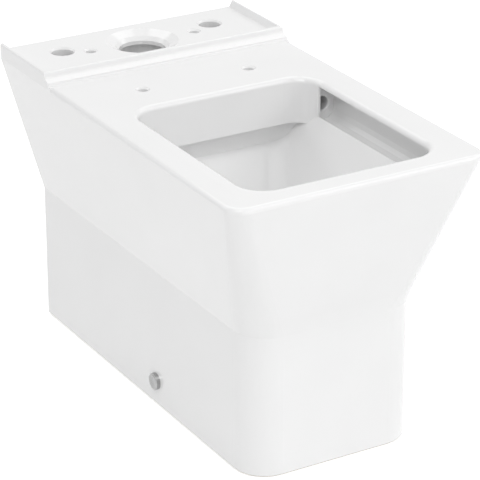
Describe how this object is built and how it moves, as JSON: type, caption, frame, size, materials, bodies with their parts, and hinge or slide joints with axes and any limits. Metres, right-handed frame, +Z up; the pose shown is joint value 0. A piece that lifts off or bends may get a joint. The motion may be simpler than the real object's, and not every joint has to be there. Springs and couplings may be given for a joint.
{
  "type": "toilet",
  "caption": "Floor-standing, back-to-wall toilet pan for a close-coupled cistern: square bowl, flared shrouded foot, concealed side fixings.",
  "frame": {"origin": "on the floor, in the middle of the footprint between the wall plane and the front of the rim", "axes": "+Z up, -Y out of the front of the bowl, +Y into the wall, +X to the right seen from the front"},
  "size_m": [0.354, 0.605, 0.405],
  "materials": {
    "glazed_china": "gloss",
    "chromed_cap": "polished",
    "sleeve_nylon": "matte",
    "bracket_nylon": "matte",
    "stainless_steel": "satin"
  },
  "bodies": {
    "root": {"pan": "glazed_china", "left_cover_cap": "chromed_cap", "left_fixing_sleeve": "sleeve_nylon", "left_screw_washer": "stainless_steel", "left_side_screw": "stainless_steel", "left_floor_bracket": "bracket_nylon", "left_bracket_nut": "stainless_steel", "right_cover_cap": "chromed_cap", "right_fixing_sleeve": "sleeve_nylon", "right_screw_washer": "stainless_steel", "right_side_screw": "stainless_steel", "right_floor_bracket": "bracket_nylon", "right_bracket_nut": "stainless_steel"}
  },
  "joints": []
}
